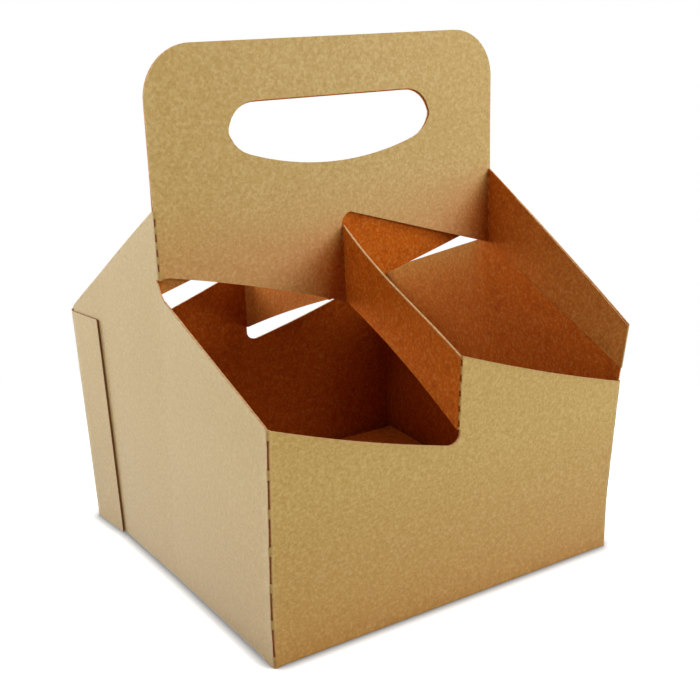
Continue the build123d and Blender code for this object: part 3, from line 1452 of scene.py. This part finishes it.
    @staticmethod
    def mark_edges(mesh: bpy.types.Mesh, rim: np.ndarray, count: int) -> None:
        """Marks both edges of every cut as sharp.

        Args:
            mesh: The thick board.
            rim: Directed edges of the cuts on the outer face.
            count: Points on each face of the board.
        """
        ends = np.empty(len(mesh.edges) * 2, np.int32)
        mesh.edges.foreach_get("vertices", ends)
        ends = np.sort(ends.reshape(-1, 2).astype(np.int64), axis=1)
        cuts = np.sort(np.concatenate([rim, rim + count]), axis=1)
        key = [2 * count, 1]
        attribute = mesh.attributes.new("sharp_edge", "BOOLEAN", "EDGE")
        attribute.data.foreach_set("value", np.isin(ends @ key, cuts @ key))


@dataclass(frozen=True)
class FibreLayer:
    """Noise that lays one colour over the board.

    Attributes:
        scale: Scale of the noise per metre.
        detail: Octaves of finer noise.
        roughness: Strength of the finer noise.
        low: Noise value at which the colour starts to show.
        high: Noise value at which it shows most.
        share: How much it then covers.
        colour: Socket of the group that holds the colour.
    """

    scale: float
    detail: float
    roughness: float
    low: float
    high: float
    share: float
    colour: str


MOTTLE = FibreLayer(800.0, 3.0, 0.6, 0.42, 0.70, 0.85, "Dark")
PALE = FibreLayer(680.0, 2.0, 0.6, 0.46, 0.70, 0.85, "Light")
CLOUDS = FibreLayer(45.0, 3.0, 0.5, 0.45, 0.80, 0.12, "Dark")
SPECKS = FibreLayer(420.0, 1.0, 0.5, 0.73, 0.80, 0.60, "Dark")
STAINS = FibreLayer(260.0, 3.0, 0.65, 0.48, 0.72, 0.50, "Slit")
# share of the painted deep shade left on the palest fibres
PALE_TONE = 0.8
MOTTLE_ROUGHNESS = 0.15


@dataclass(frozen=True)
class KraftFinish:
    """Finish of bare kraft board.

    Attributes:
        name: Name of the material.
        colour: Colour of the pulp.
        dark: Colour of the darker fibres.
        light: Colour of the paler fibres.
        inside: What the full tone, a painted shade, multiplies these colours by.
        slit: What the crease value and a stain multiply them by: darker fold ridges, and painted
            shade in slits, along shadow lines and in corners.
        roughness: Roughness of the surface.
        gloss: Specular level of the pressed surface.
        sheen: Weight of the haze that loose fibres give at a flat angle; more on the side walls'
            copy, as a painted sheen.
        sheen_roughness: Roughness of that haze.
        relief: Strength of the fibre relief.
        relief_depth: Depth of the fibre relief in metres.
    """

    name: str
    colour: Colour
    dark: Colour
    light: Colour
    inside: Colour = (0.64, 0.52, 0.0)
    slit: Colour = (0.80, 0.52, 0.25)
    roughness: float = 0.42
    gloss: float = 0.4
    sheen: float = 0.85
    sheen_roughness: float = 0.5
    relief: float = 0.25
    relief_depth: float = 0.0001

    def build(self, grain: bpy.types.NodeTree) -> bpy.types.Material:
        """Makes the material round the shared fibre grain.

        Args:
            grain: Node group of the fibre grain.

        Returns:
            The material.
        """
        material = bpy.data.materials.new(self.name)
        material.use_nodes = True
        tree = material.node_tree
        shader = tree.nodes["Principled BSDF"]
        set_values(
            shader,
            {
                "Specular IOR Level": self.gloss,
                "Sheen Weight": self.sheen,
                "Sheen Roughness": self.sheen_roughness,
            },
        )
        values = {
            "Pulp": (*self.colour, 1),
            "Dark": (*self.dark, 1),
            "Light": (*self.light, 1),
            "Inside": (*self.inside, 1),
            "Slit": (*self.slit, 1),
            "Roughness": self.roughness,
        }
        fibres = add_node(tree, "ShaderNodeGroup", values, node_tree=grain)
        place = add_node(tree, "ShaderNodeTexCoord")
        tone = add_node(tree, "ShaderNodeAttribute", attribute_name="tone")
        crease = add_node(tree, "ShaderNodeAttribute", attribute_name="crease")
        values = {"Strength": self.relief, "Distance": self.relief_depth}
        bump = add_node(tree, "ShaderNodeBump", values)
        wire(
            tree,
            (place.outputs["Object"], fibres.inputs["Place"]),
            (tone.outputs["Fac"], fibres.inputs["Tone"]),
            (crease.outputs["Fac"], fibres.inputs["Crease"]),
            (fibres.outputs["Color"], shader.inputs["Base Color"]),
            (fibres.outputs["Roughness"], shader.inputs["Roughness"]),
            (fibres.outputs["Height"], bump.inputs["Height"]),
            (bump.outputs["Normal"], shader.inputs["Normal"]),
        )
        return material


@dataclass(frozen=True)
class FibreGrain:
    """Node group of pressed fibres: mottling, pale fibres, cloudy pulp, dark specks and stains,
    with the painted shade of the tone and crease values.

    Attributes:
        tree: Node tree of the group.
    """

    tree: bpy.types.NodeTree = field(
        default_factory=lambda: bpy.data.node_groups.new("fibre_grain", "ShaderNodeTree")
    )

    def declare(self) -> None:
        """Gives the group its named inputs and outputs."""
        vector, colour, value = "NodeSocketVector", "NodeSocketColor", "NodeSocketFloat"
        for way, kind, names in (
            ("INPUT", vector, ("Place",)),
            ("INPUT", colour, ("Pulp", "Dark", "Light", "Inside", "Slit")),
            ("INPUT", value, ("Tone", "Crease", "Roughness")),
            ("OUTPUT", colour, ("Color",)),
            ("OUTPUT", value, ("Roughness", "Height")),
        ):
            for name in names:
                self.tree.interface.new_socket(name=name, in_out=way, socket_type=kind)

    def noise(self, layer: FibreLayer, place: bpy.types.NodeSocket) -> bpy.types.NodeSocket:
        """Adds a layer's noise.

        Args:
            layer: The layer.
            place: Where on the board the noise is read.

        Returns:
            Its value.
        """
        values = {"Scale": layer.scale, "Detail": layer.detail, "Roughness": layer.roughness}
        node = add_node(self.tree, "ShaderNodeTexNoise", values)
        wire(self.tree, (place, node.inputs["Vector"]))
        return node.outputs["Fac"]

    def ranged(
        self, source: bpy.types.NodeSocket, layer: FibreLayer, start: float, end: float
    ) -> bpy.types.NodeSocket:
        """Maps a layer's noise to another range, held at its ends.

        Args:
            source: The noise.
            layer: The layer.
            start: Result at its low value.
            end: Result at its high value.

        Returns:
            The result.
        """
        values = {"From Min": layer.low, "From Max": layer.high, "To Min": start, "To Max": end}
        node = add_node(self.tree, "ShaderNodeMapRange", values)
        wire(self.tree, (source, node.inputs["Value"]))
        return node.outputs["Result"]

    def mixed(
        self,
        factor: bpy.types.NodeSocket,
        a: bpy.types.NodeSocket,
        b: bpy.types.NodeSocket,
        way: str = "MIX",
    ) -> bpy.types.NodeSocket:
        """Mixes two colours by a factor, or multiplies the first by the second.

        Args:
            factor: How far to go.
            a: First colour.
            b: Second colour.
            way: Blend type of the node.

        Returns:
            The colour.
        """
        node = add_node(self.tree, "ShaderNodeMix", data_type="RGBA", blend_type=way)
        for name, source in (("Factor", factor), ("A", a), ("B", b)):
            wire(self.tree, (source, node.inputs[name]))
        return node.outputs["Result"]

    def scaled(
        self,
        value: bpy.types.NodeSocket,
        factor: bpy.types.NodeSocket | float,
        extra: bpy.types.NodeSocket | None = None,
        clamped: bool = False,
    ) -> bpy.types.NodeSocket:
        """Multiplies two values and adds a third, if there is one.

        Args:
            value: First value.
            factor: What it is multiplied by.
            extra: What is added.
            clamped: Whether the result is held between 0 and 1.

        Returns:
            The result.
        """
        way = "MULTIPLY" if extra is None else "MULTIPLY_ADD"
        node = add_node(self.tree, "ShaderNodeMath", operation=way, use_clamp=clamped)
        for socket, given in zip(node.inputs, (value, factor, extra)):
            if isinstance(given, float):
                socket.default_value = given
            elif given is not None:
                wire(self.tree, (given, socket))
        return node.outputs["Value"]

    def build(self) -> bpy.types.NodeTree:
        """Lays the fibre layers over the pulp, and then the tone's painted shade, the stains, which
        grow
        with the tone, and the crease value: darker fold ridges and painted shade in slits and
        corners.

        Returns:
            The group, with a colour, a roughness and a height.
        """
        self.declare()
        given = self.tree.nodes.new("NodeGroupInput").outputs
        result = self.tree.nodes.new("NodeGroupOutput").inputs
        noises = {
            layer: self.noise(layer, given["Place"])
            for layer in (MOTTLE, PALE, CLOUDS, SPECKS, STAINS)
        }
        colour = given["Pulp"]
        for layer in (MOTTLE, PALE, CLOUDS, SPECKS):
            cover = self.ranged(noises[layer], layer, 0.0, layer.share)
            colour = self.mixed(cover, colour, given[layer.colour])
        # painted shade: the deep tone, a little uneven with the pale fibres
        shade_share = self.ranged(noises[PALE], PALE, 1.0, PALE_TONE)
        depth = self.scaled(given["Tone"], shade_share)
        colour = self.mixed(depth, colour, given["Inside"], "MULTIPLY")
        # stains that grow with the painted tone, then the crease value's painted shade
        stained = self.ranged(noises[STAINS], STAINS, 0.0, STAINS.share)
        shade = self.scaled(given["Tone"], stained, given["Crease"], clamped=True)
        colour = self.mixed(shade, colour, given[STAINS.colour], "MULTIPLY")
        rough = self.scaled(noises[MOTTLE], MOTTLE_ROUGHNESS, given["Roughness"])
        wire(
            self.tree,
            (colour, result["Color"]),
            (rough, result["Roughness"]),
            (noises[MOTTLE], result["Height"]),
        )
        return self.tree


@dataclass(frozen=True)
class SoftLamp:
    """A large soft white studio lamp aimed at the carrier.

    Attributes:
        name: Name of the lamp.
        place: Where it stands, in metres.
        size: Side of its square face in metres.
        power: Power in watts.
    """

    name: str
    place: tuple[float, float, float]
    size: float
    power: float

    def build(self, aim: tuple[float, float, float]) -> None:
        """Makes the lamp.

        Args:
            aim: Point that it faces.
        """
        data = bpy.data.lights.new(self.name, "AREA")
        data.size = self.size
        data.energy = self.power
        lamp = bpy.data.objects.new(self.name, data)
        lamp.location = self.place
        way = Vector(aim) - Vector(self.place)
        lamp.rotation_euler = way.to_track_quat("-Z", "Y").to_euler()
        bpy.context.scene.collection.objects.link(lamp)


@dataclass(frozen=True)
class Studio:
    """Pale floor, soft lamps and the camera. Lengths are in metres.

    Attributes:
        lamps: The lamps.
        aim: Point that they face.
        fill: Strength of the even white light from all round.
        floor_size: Side of the floor.
        floor_colour: Colour of the floor.
        floor_glow: What is added to the floor for the camera, so that only the shadow stays grey.
        near_floor: Distance from the middle at which the floor starts to turn plain white.
        far_floor: Distance at which it is plain white.
        shadow_reach: Distance from the carrier over which its close shadow fades.
        shadow_start: Share of open sky at which that shadow is deepest.
        shadow_depth: Share of the light that it takes there.
        camera_place: Where the camera stands.
        yaw: Angle of its view to the right of +Y, in degrees.
        pitch: Angle below the horizon.
        roll: Turn about the view.
        lens: Focal length in millimetres on a 36 mm sensor.
    """

    lamps: tuple[SoftLamp, ...] = (
        SoftLamp("rear_left_lamp", (-0.55, 1.0, 0.35), 0.6, 7.6),
        SoftLamp("rear_side_lamp", (-1.0, 0.9, 0.5), 1.2, 5.2),
        SoftLamp("left_lamp", (-1.1, -0.1, 0.5), 0.6, 4.5),
        SoftLamp("front_high_lamp", (0.5, -0.8, 1.0), 0.6, 6.8),
        SoftLamp("front_low_lamp", (0.7, -1.0, 0.22), 0.5, 8.2),
        SoftLamp("top_lamp", (0.0, 0.0, 1.4), 0.8, 2.1),
    )
    aim: tuple[float, float, float] = (0.0, 0.0, 0.1)
    fill: float = 0.02
    floor_size: float = 8.0
    floor_colour: Colour = (0.55, 0.42, 0.28)
    floor_glow: float = 0.85
    near_floor: float = 0.16
    far_floor: float = 0.32
    shadow_reach: float = 0.0078
    shadow_start: float = 0.5
    shadow_depth: float = 0.8
    camera_place: tuple[float, float, float] = (-0.2832, -0.4374, 0.2581)
    yaw: float = 33.505
    pitch: float = 17.796
    roll: float = -0.871
    lens: float = 60.11

    def build(self) -> None:
        """Makes the floor, the lamps, the even light and the camera."""
        self.build_floor()
        for lamp in self.lamps:
            lamp.build(self.aim)
        self.build_world()
        self.build_camera()
        bpy.context.scene.view_settings.view_transform = "Standard"

    @staticmethod
    def shown(tree: bpy.types.NodeTree) -> bpy.types.NodeSocket:
        """Adds the test for what shows as the background: rays from the camera, gloss or glass.

        Args:
            tree: Node tree that gets the test.

        Returns:
            The socket, 1 for such a ray and 0 for light on its way to the carrier.
        """
        path = add_node(tree, "ShaderNodeLightPath")
        socket = path.outputs["Is Camera Ray"]
        for name in ("Is Glossy Ray", "Is Transmission Ray"):
            either = add_node(tree, "ShaderNodeMath", operation="MAXIMUM")
            wire(tree, (socket, either.inputs[0]), (path.outputs[name], either.inputs[1]))
            socket = either.outputs["Value"]
        return socket

    def floor_material(self) -> bpy.types.Material:
        """Makes the floor's material: pale for light, and for the camera white with the shadow.

        Close to the carrier it darkens by how much of the sky is hidden there.

        Returns:
            The material.
        """
        material = bpy.data.materials.new("floor_white")
        material.use_nodes = True
        tree = material.node_tree
        pale = tree.nodes["Principled BSDF"]
        colour = (*self.floor_colour, 1)
        set_values(pale, {"Base Color": colour, "Roughness": 1.0, "Specular IOR Level": 0.0})
        plain = add_node(tree, "ShaderNodeBsdfDiffuse")
        glow = add_node(tree, "ShaderNodeEmission", {"Strength": self.floor_glow})
        lit = add_node(tree, "ShaderNodeAddShader")
        sky = add_node(tree, "ShaderNodeAmbientOcclusion", {"Distance": self.shadow_reach})
        values = {"From Min": self.shadow_start, "To Min": self.shadow_depth, "To Max": 0.0}
        hidden = add_node(tree, "ShaderNodeMapRange", values)
        place = add_node(tree, "ShaderNodeTexCoord")
        distance = add_node(tree, "ShaderNodeVectorMath", operation="LENGTH")
        values = {"From Min": self.near_floor, "From Max": self.far_floor}
        away = add_node(tree, "ShaderNodeMapRange", values, interpolation_type="SMOOTHSTEP")
        white = add_node(tree, "ShaderNodeEmission")
        shaded, spread, floor = (add_node(tree, "ShaderNodeMixShader") for _ in range(3))
        wire(
            tree,
            (plain.outputs["BSDF"], lit.inputs[0]),
            (glow.outputs["Emission"], lit.inputs[1]),
            (sky.outputs["AO"], hidden.inputs["Value"]),
            (hidden.outputs["Result"], shaded.inputs["Fac"]),
            (lit.outputs["Shader"], shaded.inputs[1]),
            (place.outputs["Object"], distance.inputs[0]),
            (distance.outputs["Value"], away.inputs["Value"]),
            (away.outputs["Result"], spread.inputs["Fac"]),
            (shaded.outputs["Shader"], spread.inputs[1]),
            (white.outputs["Emission"], spread.inputs[2]),
            (self.shown(tree), floor.inputs["Fac"]),
            (pale.outputs["BSDF"], floor.inputs[1]),
            (spread.outputs["Shader"], floor.inputs[2]),
            (floor.outputs["Shader"], tree.nodes["Material Output"].inputs["Surface"]),
        )
        return material

    def build_floor(self) -> None:
        """Makes a flat square floor."""
        half = self.floor_size / 2
        mesh = bpy.data.meshes.new("floor")
        corners = [(-half, -half, 0), (half, -half, 0), (half, half, 0), (-half, half, 0)]
        mesh.from_pydata(corners, [], [(0, 1, 2, 3)])
        mesh.materials.append(self.floor_material())
        floor = bpy.data.objects.new("floor", mesh)
        bpy.context.scene.collection.objects.link(floor)

    def build_world(self) -> None:
        """Makes even light from all round, and white where the camera sees past the floor."""
        world = bpy.data.worlds.new("studio")
        bpy.context.scene.world = world
        world.use_nodes = True
        tree = world.node_tree
        light = tree.nodes["Background"]
        set_values(light, {"Color": WHITE, "Strength": self.fill})
        white = add_node(tree, "ShaderNodeBackground", {"Color": WHITE})
        choose = add_node(tree, "ShaderNodeMixShader")
        wire(
            tree,
            (self.shown(tree), choose.inputs["Fac"]),
            (light.outputs["Background"], choose.inputs[1]),
            (white.outputs["Background"], choose.inputs[2]),
            (choose.outputs["Shader"], tree.nodes["World Output"].inputs["Surface"]),
        )

    def build_camera(self) -> None:
        """Makes the camera: it looks along its yaw and pitch, rolled about that line."""
        yaw, pitch, roll = np.radians([self.yaw, self.pitch, self.roll])
        level = np.cos(pitch)
        forward = Vector((np.sin(yaw) * level, np.cos(yaw) * level, -np.sin(pitch)))
        right = Vector((np.cos(yaw), -np.sin(yaw), 0.0))
        up = right.cross(forward)
        rolled_right = right * np.cos(roll) + up * np.sin(roll)
        rolled_up = up * np.cos(roll) - right * np.sin(roll)
        axes = Matrix((rolled_right, rolled_up, -forward)).transposed()
        data = bpy.data.cameras.new("camera")
        data.lens = self.lens
        camera = bpy.data.objects.new("camera", data)
        camera.matrix_world = Matrix.Translation(self.camera_place) @ axes.to_4x4()
        bpy.context.scene.collection.objects.link(camera)
        bpy.context.scene.camera = camera


# Lit and shaded copies of one kraft finish: the side walls' copy has the most sheen, a painted
# sheen for the haze where light grazes them, and the end panels' and handle's copies less, with
# deeper inside colours for their painted shade.
SIDE_FACE = KraftFinish(
    "kraft_face",
    colour=(0.495, 0.345, 0.088),
    dark=(0.405, 0.257, 0.044),
    light=(0.57, 0.42, 0.148),
)
# Shaded copy for the faces in painted deep shade: no sheen, little gloss and a strong inside
# colour.
SHADED_FACE = KraftFinish(
    "kraft_shaded_face",
    colour=(0.535, 0.355, 0.098),
    dark=(0.425, 0.25, 0.044),
    light=(0.60, 0.43, 0.155),
    inside=(0.97, 0.31, 0.025),
    slit=(0.62, 0.5, 0.4),
    roughness=0.8,
    gloss=0.11,
    sheen=0.0,
)
CUT_EDGE = KraftFinish(
    "kraft_cut_edge",
    colour=(0.70, 0.43, 0.21),
    dark=(0.50, 0.27, 0.11),
    light=(0.80, 0.56, 0.34),
    inside=(1.0, 0.86, 0.72),
    slit=(0.55, 0.40, 0.30),
    roughness=0.8,
    gloss=0.25,
    sheen=0.0,
)
END_FACE = KraftFinish(
    "kraft_end_face",
    colour=(0.50, 0.343, 0.096),
    dark=(0.41, 0.256, 0.049),
    light=(0.575, 0.418, 0.158),
    inside=(0.72, 0.42, 0.08),
    gloss=0.35,
    sheen=0.2,
)
HANDLE_FACE = replace(
    END_FACE, name="kraft_handle_face", inside=(0.98, 0.30, 0.03), gloss=0.3, sheen=0.05
)
FINISHES = {
    Finish.SIDE: SIDE_FACE,
    Finish.INNER: SHADED_FACE,
    Finish.CUT: CUT_EDGE,
    Finish.END: END_FACE,
    Finish.HANDLE: HANDLE_FACE,
}


def main() -> None:
    """Builds the carrier, its finishes and the studio."""
    logging.basicConfig(level=logging.INFO, format="%(name)s: %(message)s")
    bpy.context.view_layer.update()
    grain = FibreGrain().build()
    piece = PaperCarrier().build([FINISHES[finish].build(grain) for finish in Finish])
    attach(piece, BODY)
    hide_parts(NODE)
    LOG.info("%s: %d faces", piece.name, len(piece.data.polygons))
    Studio().build()


if __name__ == "__main__":
    main()
